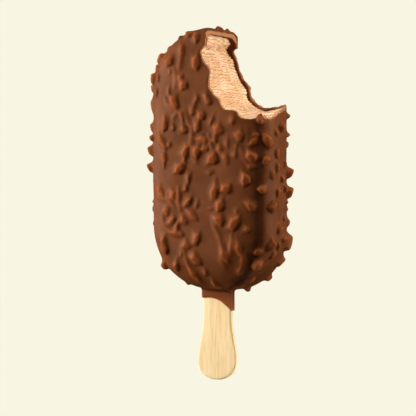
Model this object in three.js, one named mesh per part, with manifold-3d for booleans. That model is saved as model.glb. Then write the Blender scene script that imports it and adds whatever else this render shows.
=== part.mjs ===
// A nut-coated ice cream bar on a flat wooden stick, lying on its back, with a bite
// taken out of the top right of its front.
//
// The bar is drawn in its own frame, in millimetres: +X to the right and +Y toward the
// bitten top as seen from the front, +Z out of the front. Its lower end is at y = 0 and
// its middle plane at z = 0. The last lines move it so that the origin is under the
// middle of the whole, in the plane that it lies on.

import * as THREE from 'three';
import { ConvexGeometry } from 'three/addons/geometries/ConvexGeometry.js';
import { mergeVertices } from 'three/addons/utils/BufferGeometryUtils.js';
import Module from 'manifold-3d';

const wasm = await Module();
wasm.setup();

// ---- Driving dimensions ----------------------------------------------------------

// The bar over its smooth chocolate, without the nuts.
const BAR_LENGTH = 102;
const BAR_WIDTH = 53.6;
const BAR_THICKNESS = 27;
// Its corners as seen from the front.
const TOP_RIGHT_RADIUS = 24.5;
const TOP_LEFT_RADIUS = 26.5;
const BOTTOM_LEFT_RADIUS = 26;
const BOTTOM_RIGHT_RADIUS = 22;
const EDGE_POWER = 3.2; // how square the edges are; 2 would be an ellipse
const TOP_EDGE_POWER = 6; // the same at the top end
const SPINE_RADIUS = 1.5; // half width of the flat left along the middle of a face

const COAT = 1.7; // thickness of the chocolate
const COAT_AT_TOP = 2.9;
const FIT = 0.3; // clearance between two pieces

// The stick: its narrow end is in the ice cream, its wide end is the handle.
const STICK_LENGTH = 94;
const STICK_OUT = 34.9; // length below the bar
const STICK_THICKNESS = 2;
const STICK_X = -0.75; // it stands a little left of the bar's axis
const STICK_BEVEL = 0.3;
const NARROW_END_RADIUS = 5.5;
const WIDE_END_DEPTH = 6.8; // from the widest place to the round end
// Half widths from the widest place to the narrow end, as [half width, y].
const STICK_SIDE = [[8.7, -28.1], [8.4, -24], [7.2, -18.5], [6.3, -12], [6.1, 0], [5.5, 30]];

// The chocolate that ran down onto the stick.
const COLLAR_WALL = 0.4;
const COLLAR_FIT = 0.2;
const COLLAR_ROOT = 4; // how far the collar reaches up into the bar
// Its lower edge from left to right, as [x from the stick's axis, y].
const COLLAR_EDGE = [[-6.8, -3.1], [-3.4, -3.0], [0, -3.7], [2.6, -5.1], [5, -7.0], [6.8, -8.5]];

// The edge that the bite leaves in the chocolate, from the top of the bar to its right
// side, as [x, y] on the front face and [x, y] at the same place on the back face.
const BITE_EDGE = [
  [-1.4, 112, 1.6, 112], [-0.8, 101.6, 1.6, 102], [0.5, 98.2, 1.2, 99],
  [1, 94.6, 0.8, 96], [-0.9, 92, -1, 94.4], [0.5, 88, 0.4, 91],
  [3.2, 84.6, 1.2, 88], [2.7, 80.4, 3.6, 83.4], [3.4, 76.8, 6.3, 79.6],
  [7.2, 73, 6.9, 76], [9.3, 69.4, 10.4, 72.8], [14.5, 68.1, 14.2, 71.2],
  [16.6, 65.7, 17, 71.8], [20.5, 64.5, 20.5, 72.3], [22.7, 64.9, 23, 72.9],
  [24, 66.4, 24.6, 73.1], [26.2, 61.6, 26.6, 73.2], [36, 57, 36, 74],
];
const BITE_CORNER = [40, 116]; // closes the bitten-off region, clear of the bar
const BITE_HALF_DEPTH = 13; // the edge above is at this z, in front and behind
const BITE_REACH = 24; // half length of the cutter through the bar
const BITE_STEPS = 3; // straight pieces between two places of the edge
const CREAM_BACK_FRONT = 0.4; // how far the ice cream lies behind the broken chocolate
const CREAM_BACK_REAR = 1.2;

// Nuts under the chocolate: chips with steep sides and a smaller, sloping top. Where
// they lie on a flat floor they are pressed flat.
const NUT_PROUD = [0.46, 0.3]; // how far a nut stands out of an edge and the front, in widths
const NUT_SINK = [0.3, 0.16]; // how deep its foot lies there, in widths
const NUT_REACH = [0.95, 1.2]; // how far out the corners of the foot are, in half sizes
const NUT_TOP = [0.42, 0.72]; // and those of the top, in those of the foot
const NUT_UNEVEN = 0.25; // how far a corner may be moved round the nut, in sides
const NUT_LEAN = 0.13; // how far the top is moved downhill, in widths
const NUT_TILT = 0.3; // how much the top slopes, in its height
const DOWNHILL = [0.75, -0.66, 0]; // the way that tops slope, turned by up to a radian
const FOUR_SIDED = 4.4; // a nut that is shorter than this has four sides, others five
const REST_HEIGHT = 0.9; // height of the flats above the smooth back
const NUT_SEED = 20407;
const NUT_TRIES = 3350;
const NUT_SPACING = 0.62; // least distance of two nuts, in their mean lengths
const NUT_LENGTHS = [6, 2.8]; // the first and the last of the scattered nuts
const NUT_SIZES = [0.85, 1.15]; // how much those lengths vary
const NUT_WIDTHS = [0.45, 0.75]; // in lengths
const NUT_TURNS = [-75, 45];
const NUT_NEAR = 0.6; // a draw that is further from the chocolate is left out
const LISTED_WAY = [0.51, 0, 0.86]; // all nuts on the side that faces this way are listed
const LISTED_FACING = 0.15;
const NECK_CLEAR = 11; // no scattered nut lies nearer to the middle of the neck

// The larger nuts, as [x, y, z, length, width, turn]. The turn is in degrees from the
// bar's length, clockwise. Each is moved onto the chocolate.
const PLACED_NUTS = [
  // Front, from the top down.
  [-3, 97.5, 13, 6.4, 3.6, 0], [-9, 92.8, 13, 5.8, 2.8, -20], [-15, 89, 13, 6, 4.6, 50],
  [-2.6, 87.4, 13, 7.6, 4.6, -10], [-14.6, 84.6, 13, 2.8, 2.2, 0], [-9.5, 82.2, 13, 4, 3, 30],
  [-21.2, 82.6, 12, 4.8, 2.4, -10], [-8.3, 79, 13, 5.4, 4.6, 20], [-22.4, 77, 12, 5, 2.6, 0],
  [-15.4, 76.4, 13, 6, 2, 5], [-2.5, 73.4, 13, 4.6, 2.6, 20], [2.4, 73, 13, 6.2, 3.8, -35],
  [-12.4, 73, 13, 7.4, 4, -30], [-4.2, 69.2, 13, 5.6, 3, 10], [-9, 67.4, 13, 5.6, 2.8, -15],
  [-0.3, 67.3, 13, 4.8, 4, -30], [4.2, 64.8, 13, 5.4, 2.6, 30], [13.6, 64.6, 13, 4.6, 3, 20],
  [-17.3, 64.4, 13, 6.8, 3.6, 8], [-13, 62.8, 13, 3.2, 2.6, 0], [-2.2, 62.7, 13, 5.8, 3.6, 0],
  [-8.2, 61.8, 13, 4.4, 3.6, -35], [7.4, 61.6, 13, 6.4, 5.2, -40], [22.6, 59, 12, 4, 2.6, 80],
  [16.5, 58.4, 13, 6.2, 4.2, -20], [0.3, 57.6, 13, 7.2, 3.6, -62], [6, 57.3, 13, 3.6, 3, 0],
  [-17.8, 57, 12, 8.8, 3.6, -38], [-14.8, 56.2, 13, 2.8, 2.4, 0], [22, 56, 12, 5.2, 3.2, 60],
  [11.5, 55.6, 13, 5.2, 2.4, 5], [15.5, 54.5, 13, 2.6, 2, 0], [1.6, 54, 13, 4.6, 3.2, 75],
  [8.3, 53.4, 13, 4.6, 2.8, -10], [-2.4, 53.2, 13, 6.8, 4.6, 5], [-7.4, 53, 13, 6.8, 4, 20],
  [-17.2, 51.4, 12, 4.8, 3.4, -30], [14.8, 51, 13, 4.2, 2.8, 0], [20.8, 50.8, 12, 8, 5, -45],
  [4.6, 50, 13, 7.6, 5.4, 50], [11.1, 49.4, 13, 6.6, 2.8, -22], [-7.6, 49, 13, 3.4, 2.4, 0],
  [-17.4, 48.4, 12, 3.8, 2.6, 0], [-10.4, 47, 13, 6.6, 5.4, 40], [21, 46.7, 12, 5, 2.8, 80],
  [4.2, 44.8, 13, 3.8, 2.4, 80], [-6, 43, 13, 6.6, 3, 12], [18.7, 41.6, 12, 6.8, 4.6, -5],
  [-7.3, 39, 13, 3.6, 2.8, -20], [11.2, 38.4, 13, 5.6, 4.8, 80], [-18.8, 38, 12, 7.4, 3.6, -38],
  [5.5, 37.2, 13, 9.6, 4.4, 4], [-13, 36.6, 13, 5.2, 4, 15], [-10.3, 35, 13, 7.6, 2.4, 0],
  [-6.2, 33.7, 13, 5.8, 3.8, 55], [-2.2, 32.6, 13, 3.8, 2.4, 12], [8.5, 32, 13, 6.4, 4.8, -5],
  [20.8, 31.4, 12, 7.4, 3.8, -45], [4.4, 31, 13, 3, 1.8, 80], [-15.8, 30, 13, 4.6, 3.2, -10],
  [15.4, 29.4, 13, 2.8, 2.2, 0], [-3.6, 28.2, 13, 7.8, 3.2, -50], [-13.6, 26.6, 13, 5, 3.6, 40],
  [-8.1, 26.4, 13, 4.8, 3.4, -50], [7.9, 26.2, 13, 7, 4.8, -28], [14.3, 24.7, 13, 8.4, 4.6, 37],
  [-11.3, 24, 13, 3.4, 2.6, 0], [19.5, 22.3, 12, 4, 3, 5], [-10.9, 21.7, 13, 7.4, 3, -75],
  [-2.4, 19.5, 13, 7, 4.2, 15], [-17.6, 17, 12, 8.6, 4.6, -6], [-6.5, 17, 13, 4.8, 3.2, -60],
  [13, 16.4, 13, 7.4, 2.6, 8], [16.4, 14.8, 13, 8, 3.4, -22], [22.6, 13.8, 10, 5, 3.2, 80],
  [-9.6, 13.6, 13, 3.2, 2.6, 0], [10.5, 12.2, 13, 8.2, 3.2, -25],
  [-2.7, 11.2, 13, 7.8, 4.4, -33], [17.6, 10.4, 12, 5.6, 2.6, 0], [-12.8, 8.9, 12, 5, 4, 10],
  [15, 6.8, 10, 5.2, 3, 10], [0.6, 6.4, 12, 3.6, 3, 0], [-3.9, 5.2, 11, 8.4, 3.6, -18],
  [3.8, 2.6, 8, 8, 3.4, -20], [6.4, 0, 3, 5, 3, 90],
  // Left edge, from the top down.
  [-1.4, 102, -2, 8, 3.4, 90], [-1.2, 102, -8, 5, 3, 60], [-6.2, 99, 11.4, 6.4, 4.2, 80],
  [-14, 98.6, 6, 4, 2.2, 50], [-18.6, 95, 7, 5, 3, 45], [-22.3, 91.6, 9.2, 6.4, 4.6, 25],
  [-24.3, 87.8, 7, 4.4, 4, 10], [-25, 83.6, 9, 6.6, 4.8, 0], [-25.4, 79.4, 6.8, 4.6, 3.6, 0],
  [-25.6, 72, 8.8, 7.6, 3, 0], [-25.6, 63.8, 7, 5.6, 3.6, 0], [-25.6, 59.8, 9, 4.4, 4.4, 0],
  [-25.4, 55, 8, 7.6, 5.4, -25], [-25.4, 48.4, 7, 6.4, 5.6, 0], [-25.8, 31.8, 8, 4, 2, 0],
  [-25.8, 26, 6.6, 3.2, 2, 0], [-20.5, 9.6, 8, 5.4, 4.6, 40],
  // Right edge and side, from the top down.
  [25.6, 67.4, -8, 4, 3.4, 0], [23.8, 64.6, 10, 5.6, 3.8, -10], [27, 62.5, -1, 6.5, 4.6, -10],
  [26.8, 60, 2.6, 5, 3, -30], [25.6, 60, -8, 3.6, 3.2, 0], [26, 56.8, 8, 8, 5, -25],
  [26.8, 52.4, 2.6, 6.6, 3.4, 0], [27, 48.6, -4, 4, 3, 0], [25.6, 49.2, 9, 5.6, 3.8, 40],
  [26.8, 46.8, 2.4, 6, 3.2, -10], [26.6, 43.6, 5.6, 5.4, 3, 10], [25.6, 45.4, -8, 7.6, 5.6, 10],
  [27, 42.4, -1.6, 5, 3.2, -5], [27, 38.6, -4.4, 5.6, 3.2, -35], [24.6, 38, 10, 5.6, 4.6, 15],
  [25.6, 37.6, -8, 7.6, 5.4, 15], [26.8, 36.8, 2, 6, 3.2, 10], [26.4, 33.6, -5.6, 4, 2.8, 60],
  [26.2, 31.6, 5.5, 6.8, 4.8, 30], [25.8, 31, -8, 3, 2, 0], [27, 27.5, -3, 4.2, 2.8, 0],
  [25.8, 26, -8, 5, 3, 0], [27, 23, 1, 5.6, 4, 30], [26.4, 19.6, -3.6, 5.6, 3.4, 60],
  [25.4, 18.6, -8, 9.6, 5, 20], [25.6, 17, 5.4, 7.2, 4.8, 20], [26.2, 16.2, 0, 4.2, 3, 0],
  [25.2, 12.8, 2.4, 5.2, 3.4, 40], [23.6, 10.8, -7, 8.6, 3.8, 35], [21.2, 9, 8.4, 7.6, 5.8, 10],
  [16.5, 4.6, 5, 7, 3.6, 70], [18, 4, -7, 6, 3.8, 40], [11.7, 2.2, 5, 6, 3, 60],
  [10, 0.8, -4, 7.6, 3.6, 80],
  // Back: the bar rests on the flats of these.
  [0, 44, -13, 8, 6, 20], [-12, 77, -13, 7, 5.4, 30], [14, 56, -13, 7, 5.6, 0],
  [-13, 22, -13, 7, 5.4, -20], [13, 20, -13, 7, 5.6, 40],
];

// ---- Seeded draws ----------------------------------------------------------------

// A linear congruential generator, so that every run scatters the nuts alike.
function seeded(seed) {
  let state = seed;
  return () => {
    state = (Math.imul(state, 1664525) + 1013904223) >>> 0;
    return state / 4294967296;
  };
}

const mix = (a, b, t) => a + (b - a) * t;
const within = ([low, high], share) => mix(low, high, share);

// ---- The bar's smooth form -------------------------------------------------------

const HALF_WIDTH = BAR_WIDTH / 2;
const HALF_THICKNESS = BAR_THICKNESS / 2;
// The four corners counterclockwise, each with the sign of its side in x and in y.
const CORNERS = [
  { right: 1, top: 1, radius: TOP_RIGHT_RADIUS },
  { right: -1, top: 1, radius: TOP_LEFT_RADIUS },
  { right: -1, top: -1, radius: BOTTOM_LEFT_RADIUS },
  { right: 1, top: -1, radius: BOTTOM_RIGHT_RADIUS },
];
const SHOULDER = Math.min(...CORNERS.map((corner) => corner.radius)) - SPINE_RADIUS;

// How square the edge is where the outline faces so far upward, from 0 to 1.
const edgePower = (upward) => mix(EDGE_POWER, TOP_EDGE_POWER, upward ** 2);

// Distance of (x, y) inside the bar's outline, a rectangle with round corners, and how
// square the edge is there.
function placeInOutline(x, y) {
  const fromMiddle = y - BAR_LENGTH / 2;
  const { radius } = CORNERS.find(({ right, top }) => right * x >= 0 && top * fromMiddle >= 0);
  const across = Math.abs(x) - HALF_WIDTH + radius;
  const along = Math.abs(fromMiddle) - BAR_LENGTH / 2 + radius;
  const corner = Math.hypot(Math.max(across, 0), Math.max(along, 0));
  const upward = fromMiddle > 0 && along > 0 ? along / corner : 0;
  return {
    depth: radius - corner - Math.min(Math.max(across, along), 0),
    power: edgePower(upward),
  };
}

// Below 0 inside the bar and above 0 outside it, for a point in bar coordinates.
function level(point) {
  const { depth, power } = placeInOutline(point.x, point.y);
  const edge = Math.max(SHOULDER - depth, 0) / SHOULDER;
  const height = Math.abs(point.z) / HALF_THICKNESS;
  return (edge ** power + height ** power) ** (1 / power) - 1;
}

function levelSlope(point) {
  const step = 0.01;
  const slope = new THREE.Vector3();
  for (const axis of ['x', 'y', 'z']) {
    const ahead = point.clone();
    const behind = point.clone();
    ahead[axis] += step;
    behind[axis] -= step;
    slope[axis] = (level(ahead) - level(behind)) / (2 * step);
  }
  return slope;
}

// Moves a point onto the smooth chocolate and gives it with the direction out of it.
function settle(start) {
  const point = start.clone();
  for (let round = 0; round < 12; round += 1) {
    const slope = levelSlope(point);
    point.addScaledVector(slope, -level(point) / slope.lengthSq());
  }
  return { point, outward: levelSlope(point).normalize() };
}

// ---- Solids ----------------------------------------------------------------------

function solidOf(geometry) {
  geometry.deleteAttribute('normal');
  geometry.deleteAttribute('uv');
  const merged = mergeVertices(geometry, 1e-4);
  return new wasm.Manifold(new wasm.Mesh({
    numProp: 3,
    vertProperties: new Float32Array(merged.attributes.position.array),
    triVerts: new Uint32Array(merged.index.array),
  }));
}

function geometryOf(solid) {
  const mesh = solid.getMesh();
  const geometry = new THREE.BufferGeometry();
  geometry.setAttribute('position', new THREE.BufferAttribute(mesh.vertProperties, 3));
  geometry.setIndex(new THREE.BufferAttribute(mesh.triVerts, 1));
  return geometry;
}

// A closed surface through rings of equal length, each a list of Vector3 that runs
// counterclockwise seen from the last ring. Both ends are closed with a flat cap.
function skin(rings) {
  const count = rings[0].length;
  const positions = rings.flat().flatMap((p) => [p.x, p.y, p.z]);
  const faces = [];
  for (let r = 0; r + 1 < rings.length; r += 1) {
    for (let i = 0; i < count; i += 1) {
      const a = r * count + i;
      const b = r * count + (i + 1) % count;
      faces.push(a, b, b + count, a, b + count, a + count);
    }
  }
  const last = (rings.length - 1) * count;
  const cap = (ring) => THREE.ShapeUtils.triangulateShape(ring, []);
  for (const [a, b, c] of cap(rings[0])) faces.push(a, c, b);
  for (const [a, b, c] of cap(rings[rings.length - 1])) faces.push(last + a, last + b, last + c);
  const geometry = new THREE.BufferGeometry();
  geometry.setAttribute('position', new THREE.Float32BufferAttribute(positions, 3));
  geometry.setIndex(faces);
  return geometry;
}

// The bar's form, made smaller all round by `inset` and at the top by `lowered` more.
function barForm(inset, lowered, cornerSteps, riseSteps) {
  const outline = [];
  CORNERS.forEach(({ right, top, radius }, quarter) => {
    const x = right * (HALF_WIDTH - radius);
    const y = BAR_LENGTH / 2 + top * (BAR_LENGTH / 2 - radius) - (top > 0 ? lowered : 0);
    for (let i = 0; i <= cornerSteps; i += 1) {
      const angle = (quarter + i / cornerSteps) * Math.PI / 2;
      const cos = Math.cos(angle);
      const sin = Math.sin(angle);
      outline.push({ x, y, radius, cos, sin, power: edgePower(Math.max(sin, 0)) });
    }
  });
  const rings = [];
  for (let i = 0; i <= riseSteps; i += 1) {
    const rise = (i / riseSteps - 0.5) * Math.PI;
    rings.push(outline.map(({ x, y, radius, cos, sin, power }) => {
      const depth = (SHOULDER - inset) * (1 - Math.max(Math.cos(rise), 0) ** (2 / power));
      const height = Math.abs(Math.sin(rise)) ** (2 / power);
      const reach = radius - inset - depth;
      const z = Math.sign(rise) * height * (HALF_THICKNESS - inset);
      return new THREE.Vector3(x + reach * cos, y + reach * sin, z);
    }));
  }
  return solidOf(skin(rings));
}

// What the bite takes away, up to its edge moved into the bar by `front` and `rear` on the
// two faces.
function biteForm(front, rear) {
  const curve = (column, margin) => {
    const spline = new THREE.SplineCurve(
      BITE_EDGE.map((place) => new THREE.Vector2(place[column], place[column + 1])));
    const points = [];
    const count = (BITE_EDGE.length - 1) * BITE_STEPS;
    for (let i = 0; i <= count; i += 1) {
      const along = spline.getTangent(i / count);
      const into = new THREE.Vector2(along.y, -along.x);
      points.push(spline.getPoint(i / count).addScaledVector(into, margin));
    }
    return points;
  };
  const faceEdge = curve(0, front);
  const backEdge = curve(2, rear);
  // The ruled surface through both edges, carried on past the two faces.
  const ringAt = (z) => {
    const share = (BITE_HALF_DEPTH - z) / (2 * BITE_HALF_DEPTH);
    const ring = faceEdge.map((p, i) => new THREE.Vector3(
      mix(p.x, backEdge[i].x, share), mix(p.y, backEdge[i].y, share), z));
    ring.push(new THREE.Vector3(...BITE_CORNER, z));
    return ring;
  };
  return solidOf(skin([ringAt(-BITE_REACH), ringAt(BITE_REACH)]));
}

function stickOutline(margin) {
  const side = new THREE.SplineCurve(
    STICK_SIDE.map(([half, y]) => new THREE.Vector2(half + margin, y))).getPoints(10);
  const shape = new THREE.Shape();
  const widest = STICK_SIDE[0];
  const narrowY = STICK_LENGTH - STICK_OUT - NARROW_END_RADIUS;
  const endDepth = WIDE_END_DEPTH + margin;
  shape.absellipse(0, widest[1], widest[0] + margin, endDepth, Math.PI, 2 * Math.PI);
  side.slice(1).forEach((p) => shape.lineTo(p.x, p.y));
  shape.absarc(0, narrowY, NARROW_END_RADIUS + margin, 0, Math.PI);
  side.slice(1).reverse().forEach((p) => shape.lineTo(-p.x, p.y));
  shape.closePath();
  return shape;
}

// The stick with `margin` added all round: bevelled as a piece, sharp as a cutter.
function stickForm(margin, bevel) {
  const thickness = STICK_THICKNESS + 2 * margin;
  const geometry = new THREE.ExtrudeGeometry(stickOutline(margin), {
    depth: thickness - 2 * bevel,
    curveSegments: 8,
    bevelEnabled: bevel > 0,
    bevelThickness: bevel,
    bevelSize: bevel,
    bevelOffset: -bevel,
    bevelSegments: 1,
  });
  geometry.translate(STICK_X, 0, bevel - thickness / 2);
  return solidOf(geometry);
}

// The chocolate round the neck of the stick, ended by its slanting edge.
function collarForm() {
  const half = STICK_SIDE[4][0] + COLLAR_FIT + COLLAR_WALL;
  const edge = new THREE.SplineCurve(
    COLLAR_EDGE.map(([x, y]) => new THREE.Vector2(x * half / COLLAR_EDGE[5][0], y)));
  const shape = new THREE.Shape(edge.getPoints(14));
  shape.lineTo(half, COLLAR_ROOT);
  shape.lineTo(-half, COLLAR_ROOT);
  const thickness = STICK_THICKNESS + 2 * (COLLAR_FIT + COLLAR_WALL);
  const geometry = new THREE.ExtrudeGeometry(shape, { depth: thickness, bevelEnabled: false });
  geometry.translate(STICK_X, 0, -thickness / 2);
  return solidOf(geometry);
}

// ---- Nuts ------------------------------------------------------------------------

// A chipped piece of nut: the hull of a foot under the chocolate's surface and a top.
function nutForm(nut, random) {
  const { point, outward } = settle(nut.place);
  const lengthwise = new THREE.Vector3(0, 1, 0);
  if (Math.abs(outward.y) > 0.98) lengthwise.set(1, 0, 0);
  lengthwise.addScaledVector(outward, -lengthwise.dot(outward)).normalize();
  const across = new THREE.Vector3().crossVectors(lengthwise, outward);
  const turn = THREE.MathUtils.degToRad(nut.turn);
  const long = lengthwise.clone().multiplyScalar(Math.cos(turn));
  long.addScaledVector(across, Math.sin(turn));
  const wide = new THREE.Vector3().crossVectors(long, outward);

  const front = Math.max(outward.z, 0) ** 2;
  const proud = nut.width * within(NUT_PROUD, front);
  const sunk = nut.width * within(NUT_SINK, front);
  const downhill = new THREE.Vector3(...DOWNHILL);
  downhill.addScaledVector(outward, -downhill.dot(outward));
  const lowest = Math.atan2(downhill.dot(wide), downhill.dot(long)) + mix(-1, 1, random());
  const above = point.clone().addScaledVector(downhill, NUT_LEAN * nut.width);
  const sides = nut.length < FOUR_SIDED ? 4 : 5;
  const start = random();
  const corners = [];
  for (let k = 0; k < sides; k += 1) {
    const place = start + k + mix(-NUT_UNEVEN, NUT_UNEVEN, random());
    const angle = place * 2 * Math.PI / sides;
    const reach = within(NUT_REACH, random()) / 2;
    const top = within(NUT_TOP, random());
    const height = proud * (1 - NUT_TILT * Math.cos(angle - lowest));
    for (const [middle, share, rise] of [[point, reach, -sunk], [above, reach * top, height]]) {
      corners.push(middle.clone()
        .addScaledVector(long, share * Math.cos(angle) * nut.length)
        .addScaledVector(wide, share * Math.sin(angle) * nut.width)
        .addScaledVector(outward, rise));
    }
  }
  return solidOf(new ConvexGeometry(corners));
}

// Places for more nuts on the left, the back and the ends, the longest first.
function scatterNuts(placed, random) {
  const nuts = [...placed];
  const listedWay = new THREE.Vector3(...LISTED_WAY);
  for (let i = 0; i < NUT_TRIES; i += 1) {
    const start = new THREE.Vector3(
      mix(-HALF_WIDTH - 1, HALF_WIDTH + 1, random()),
      mix(-1, BAR_LENGTH + 1, random()),
      mix(-HALF_THICKNESS - 1, HALF_THICKNESS + 1, random()));
    const length = within(NUT_LENGTHS, Math.sqrt(i / NUT_TRIES)) * within(NUT_SIZES, random());
    const width = length * within(NUT_WIDTHS, random());
    const turn = within(NUT_TURNS, random());
    const distance = level(start) / levelSlope(start).length();
    const { point: place, outward } = settle(start);
    const near = (nut) => nut.place.distanceTo(place) < NUT_SPACING * (nut.length + length) / 2;
    const free = Math.abs(distance) < NUT_NEAR
      && outward.dot(listedWay) < LISTED_FACING
      && Math.hypot(place.x - STICK_X, place.y, place.z) > NECK_CLEAR
      && !nuts.some(near);
    if (free) nuts.push({ place, length, width, turn });
  }
  return nuts;
}

function allNuts() {
  const placed = PLACED_NUTS.map(([x, y, z, length, width, turn]) => (
    { place: settle(new THREE.Vector3(x, y, z)).point, length, width, turn }));
  const nuts = scatterNuts(placed, seeded(NUT_SEED));
  return nuts.map((nut, i) => nutForm(nut, seeded(NUT_SEED + 7919 * (i + 1))));
}

// ---- The three pieces ------------------------------------------------------------

function floorSlab() {
  const size = 2 * BAR_LENGTH;
  const geometry = new THREE.BoxGeometry(size, size, 20);
  geometry.translate(0, BAR_LENGTH / 2, -HALF_THICKNESS - REST_HEIGHT - 10);
  return solidOf(geometry);
}

// Of a solid that a cut has left in several bodies, the largest.
function largest(solid) {
  return solid.decompose().reduce((a, b) => (b.volume() > a.volume() ? b : a));
}

function coatingSolid() {
  const outside = [barForm(0, 0, 9, 14), collarForm(), ...allNuts()];
  const whole = wasm.Manifold.union(outside)
    .subtract(barForm(COAT, COAT_AT_TOP - COAT, 7, 10))
    .subtract(stickForm(COLLAR_FIT, 0))
    .subtract(biteForm(0, 0))
    .subtract(floorSlab());
  return largest(whole);
}

function iceCreamSolid() {
  const whole = barForm(COAT + FIT, COAT_AT_TOP - COAT, 8, 12)
    .subtract(stickForm(FIT, 0))
    .subtract(biteForm(CREAM_BACK_FRONT, CREAM_BACK_REAR));
  return largest(whole);
}

function piece(name, solid, material) {
  const mesh = new THREE.Mesh(geometryOf(solid), new THREE.MeshStandardMaterial(material));
  mesh.name = name;
  return mesh;
}

const bar = new THREE.Group();
bar.add(
  piece('coating', coatingSolid(), { color: 0x7a4a2e, roughness: 0.4, metalness: 0 }),
  piece('ice_cream', iceCreamSolid(), { color: 0xf0c897, roughness: 0.7, metalness: 0 }),
  piece('stick', stickForm(0, STICK_BEVEL), { color: 0xf5dcab, roughness: 0.75, metalness: 0 }),
);

const box = new THREE.Box3().setFromObject(bar);
const middle = box.getCenter(new THREE.Vector3());
bar.position.set(-middle.x, -middle.y, -box.min.z);
bar.updateMatrixWorld(true);

export default bar;
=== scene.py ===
# Dresses the nut-coated ice cream bar: chocolate, bitten ice cream and wooden stick.
#
# The bar is worked out in its own frame, in millimetres: +X to the right and +Y toward
# the bitten top as seen from the front, +Z out of the front, y = 0 at its lower end and
# z = 0 in its middle plane. bar_to_row() moves it onto the CAD model, in metres.
#
# Chocolate and ice cream are distance fields on a grid of points, below 0 inside, which
# are blended like soft matter and then turned into meshes.

import itertools
import math

import bpy
import numpy as np
import openvdb
from mathutils import Matrix, Vector


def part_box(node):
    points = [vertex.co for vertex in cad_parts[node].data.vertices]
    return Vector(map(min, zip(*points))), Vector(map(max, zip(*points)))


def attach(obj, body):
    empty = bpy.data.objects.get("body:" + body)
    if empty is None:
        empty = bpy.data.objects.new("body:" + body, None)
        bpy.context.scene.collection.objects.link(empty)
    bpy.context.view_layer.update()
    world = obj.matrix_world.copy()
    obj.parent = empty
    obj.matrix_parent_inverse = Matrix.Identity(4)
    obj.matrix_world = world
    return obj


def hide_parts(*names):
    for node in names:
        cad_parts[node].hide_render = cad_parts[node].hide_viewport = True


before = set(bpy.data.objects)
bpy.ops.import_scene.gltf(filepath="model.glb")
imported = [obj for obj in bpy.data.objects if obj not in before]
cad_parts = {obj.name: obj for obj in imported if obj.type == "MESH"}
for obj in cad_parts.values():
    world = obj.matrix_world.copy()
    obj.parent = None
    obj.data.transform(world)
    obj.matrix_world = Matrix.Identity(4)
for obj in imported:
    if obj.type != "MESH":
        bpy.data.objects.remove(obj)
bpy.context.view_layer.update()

# ---- Driving dimensions, in millimetres, as in the CAD model ----

# The bar over its smooth chocolate, without the nuts.
BAR_LENGTH = 102.0
BAR_WIDTH = 53.6
BAR_THICKNESS = 27.0
# Its corners as seen from the front.
TOP_RIGHT_RADIUS = 24.5
TOP_LEFT_RADIUS = 26.5
BOTTOM_LEFT_RADIUS = 26.0
BOTTOM_RIGHT_RADIUS = 22.0
EDGE_POWER = 3.2  # how square the edges are; 2 would be an ellipse
TOP_EDGE_POWER = 6.0  # the same at the top end
SPINE_RADIUS = 1.5  # half width of the flat left along the middle of a face
COAT = 1.7  # thickness of the chocolate
COAT_AT_TOP = 2.9

# The stick: its narrow end is in the ice cream, its wide end is the handle.
STICK_OUT = 34.9  # length below the bar
STICK_LENGTH = 94.0
STICK_THICKNESS = 2.0
STICK_X = -0.75  # it stands a little left of the bar's axis
NARROW_END_RADIUS = 5.5
WIDE_END_DEPTH = 6.8  # from the widest place to the round end
# Half widths from the widest place to the narrow end, as (half width, y).
STICK_SIDE = [(8.7, -28.1), (8.4, -24), (7.2, -18.5), (6.3, -12), (6.1, 0), (5.5, 30)]

# The chocolate that ran down onto the stick.
COLLAR_COAT = 0.6
COLLAR_ROOT = 4.0  # how far the collar reaches up into the bar
# Its lower edge from left to right, as (x from the stick's axis, y).
COLLAR_EDGE = [(-6.8, -3.1), (-3.4, -3.0), (0, -3.7), (2.6, -5.1), (5, -7.0), (6.8, -8.5)]

# The bite's edge in the chocolate, from the bar's top to its right side, as (x, y) on the
# front face and (x, y) at the same place on the back face.
BITE_EDGE = [
    (-1.4, 112, 1.6, 112), (-0.8, 101.6, 1.6, 102), (0.5, 98.2, 1.2, 99),
    (1, 94.6, 0.8, 96), (-0.9, 92, -1, 94.4), (0.5, 88, 0.4, 91),
    (3.2, 84.6, 1.2, 88), (2.7, 80.4, 3.6, 83.4), (3.4, 76.8, 6.3, 79.6),
    (7.2, 73, 6.9, 76), (9.3, 69.4, 10.4, 72.8), (14.5, 68.1, 14.2, 71.2),
    (16.6, 65.7, 17, 71.8), (20.5, 64.5, 20.5, 72.3), (22.7, 64.9, 23, 72.9),
    (24, 66.4, 24.6, 73.1), (26.2, 61.6, 26.6, 73.2), (36, 57, 36, 74),
]
BITE_CORNER = (40, 116)  # closes the bitten-off region, clear of the bar
BITE_HALF_DEPTH = 13.0  # the edge above is at this z, in front and behind
CREAM_BACK_FRONT = 0.4  # how far the ice cream lies behind the broken chocolate
CREAM_BACK_REAR = 1.2

# Nuts under the chocolate: chips with steep sides and a smaller, sloping top.
NUT_PROUD = (0.46, 0.3)  # height above an edge and above the front, in widths
NUT_SINK = (0.3, 0.16)  # depth of the foot there, in widths
NUT_REACH = (0.95, 1.2)  # from the middle to a corner of the foot, in half sizes
NUT_TOP = (0.42, 0.72)  # the same for the top, in those of the foot
NUT_UNEVEN = 0.25  # how far a corner may be moved round the nut, in sides
NUT_LEAN = 0.13  # how far the top is moved downhill, in widths
NUT_TILT = 0.3  # slope of the top, in its height
DOWNHILL = Vector((0.75, -0.66, 0))  # the way that tops slope, turned by up to a radian
FOUR_SIDED = 4.4  # shorter nuts have four sides, others five
REST_HEIGHT = 0.9  # from the smooth back to the flats that the bar rests on
NUT_SEED = 20407
NUT_SEED_STEP = 7919  # from one nut's own seed to the next one's
NUT_TRIES = 3350
NUT_SPACING = 0.62  # least distance of two nuts, in their mean lengths
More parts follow.
